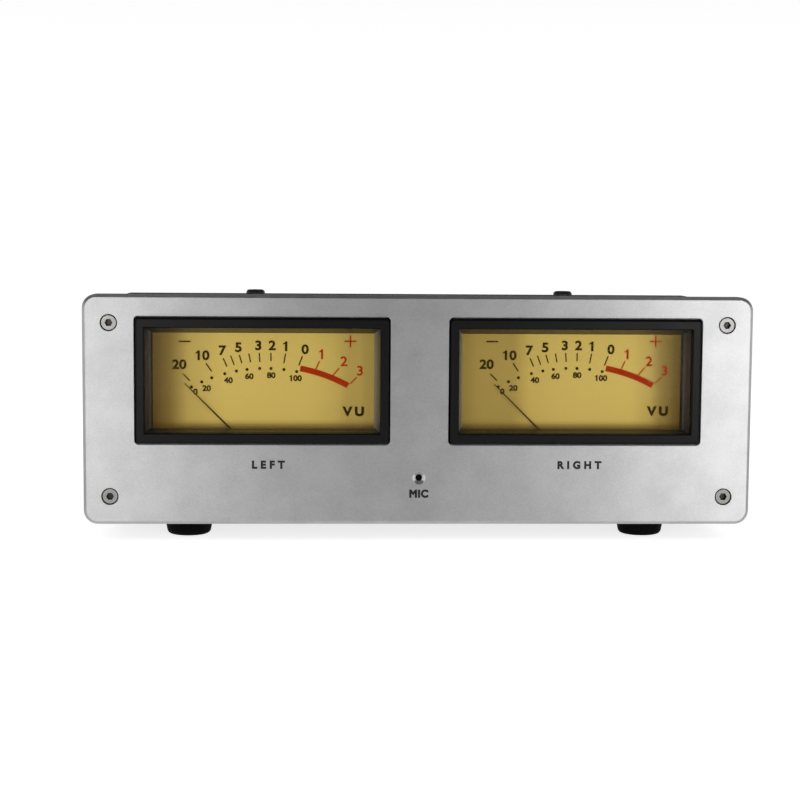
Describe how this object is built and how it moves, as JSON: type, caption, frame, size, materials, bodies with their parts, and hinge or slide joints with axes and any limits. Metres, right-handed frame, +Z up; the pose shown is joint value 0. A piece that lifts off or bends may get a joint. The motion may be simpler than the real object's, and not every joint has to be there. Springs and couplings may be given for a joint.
{
  "type": "analog vu meter",
  "caption": "Desktop stereo VU meter: a black steel box with a thick aluminium front panel, backlit dial meters with swinging needles, a sensing microphone and rear sockets and controls.",
  "frame": {"origin": "under the middle of the whole box, level with the bottoms of the feet", "axes": "+X to the right as the front is seen, the front faces -Y, +Z up"},
  "size_m": [0.2, 0.0968, 0.0742],
  "materials": {
    "panel": "fine bead-blasted, clear anodised",
    "case_black": "fine-texture black powder coat",
    "screw_black": "black oxide",
    "steel": "zinc plated",
    "nickel": "nickel plated",
    "brass": "machined",
    "copper": "enamelled winding wire",
    "iron": "ground soft iron",
    "magnet": "ground alloy",
    "rubber": "matt moulded",
    "bezel": "satin moulded",
    "frame": "satin moulded",
    "window": "clear polished acrylic",
    "dial": "matt printed, lit from behind",
    "diffuser": "translucent opal",
    "lamp": "warm white lens",
    "needle": "painted dark",
    "board": "solder mask",
    "chip": "moulded epoxy",
    "can": "sleeved can",
    "plug_white": "moulded nylon",
    "lead": "smooth flexible insulation",
    "socket_white": "moulded",
    "socket_red": "moulded",
    "switch": "moulded nylon",
    "rocker": "moulded",
    "knob": "black anodised, turned"
  },
  "bodies": {
    "chassis": {"front_panel": "panel", "front_panel_screws": "steel", "press_nuts": "steel", "chassis_tray": "case_black", "rear_panel": "case_black", "top_cover": "case_black", "case_screws": "screw_black", "feet": "rubber", "foot_screws": "steel", "mic_capsule": "nickel", "mic_grommet": "rubber", "main_board": "board", "board_standoffs": "brass", "board_screws": "steel", "board_chips": "chip", "board_capacitors": "can", "board_headers": "plug_white", "internal_leads": "lead", "rca_shells": "nickel", "left_rca_insulator": "socket_white", "right_rca_insulator": "socket_red", "rca_contacts": "brass", "dc_jack_body": "switch", "dc_jack_pin": "nickel", "power_switch_body": "switch", "mode_switch_body": "nickel", "sensitivity_pot": "steel", "mounting_nuts": "nickel", "diffusers": "diffuser", "lamp_boards": "board", "lamps": "lamp", "meter_terminals": "brass", "yoke_rings": "iron", "core_magnets": "magnet", "front_bridges": "brass", "jewel_screws": "brass", "hairsprings": "brass", "needle_stops": "brass", "left_bezel": "bezel", "left_window": "window", "left_dial_frame": "frame", "left_dial_plate": "dial", "left_meter_case": "bezel", "left_movement_frame": "brass", "right_bezel": "bezel", "right_window": "window", "right_dial_frame": "frame", "right_dial_plate": "dial", "right_meter_case": "bezel", "right_movement_frame": "brass"},
    "left_pointer": {"left_needle": "needle", "left_moving_coil": "copper", "left_needle_pivots": "steel"},
    "right_pointer": {"right_needle": "needle", "right_moving_coil": "copper", "right_needle_pivots": "steel"},
    "rocker": {"power_rocker": "rocker"},
    "toggle": {"mode_switch_lever": "nickel"},
    "knob": {"sensitivity_shaft": "steel", "sensitivity_knob": "knob"}
  },
  "joints": [
    {"name": "left_needle_swing", "type": "hinge", "parent": "chassis", "child": "left_pointer", "pos_m": [-0.04673, -0.037, 0.02357], "axis": [0, 1, 0], "range_deg": [0, 94], "stiffness_Nm_per_rad": 0.00002, "springref_deg": -5.73},
    {"name": "right_needle_swing", "type": "hinge", "parent": "chassis", "child": "right_pointer", "pos_m": [0.04673, -0.037, 0.02357], "axis": [0, 1, 0], "range_deg": [0, 94], "stiffness_Nm_per_rad": 0.00002, "springref_deg": -5.73},
    {"name": "power_rocker_tilt", "type": "hinge", "parent": "chassis", "child": "rocker", "pos_m": [-0.058, 0.03, 0.0399], "axis": [-1, 0, 0], "range_deg": [0, 18]},
    {"name": "mode_lever_throw", "type": "hinge", "parent": "chassis", "child": "toggle", "pos_m": [-0.026, 0.0358, 0.0399], "axis": [1, 0, 0], "range_deg": [0, 25]},
    {"name": "sensitivity_turn", "type": "hinge", "parent": "chassis", "child": "knob", "pos_m": [0.004, 0.0324, 0.0399], "axis": [0, 1, 0], "range_deg": [-150, 150]}
  ]
}
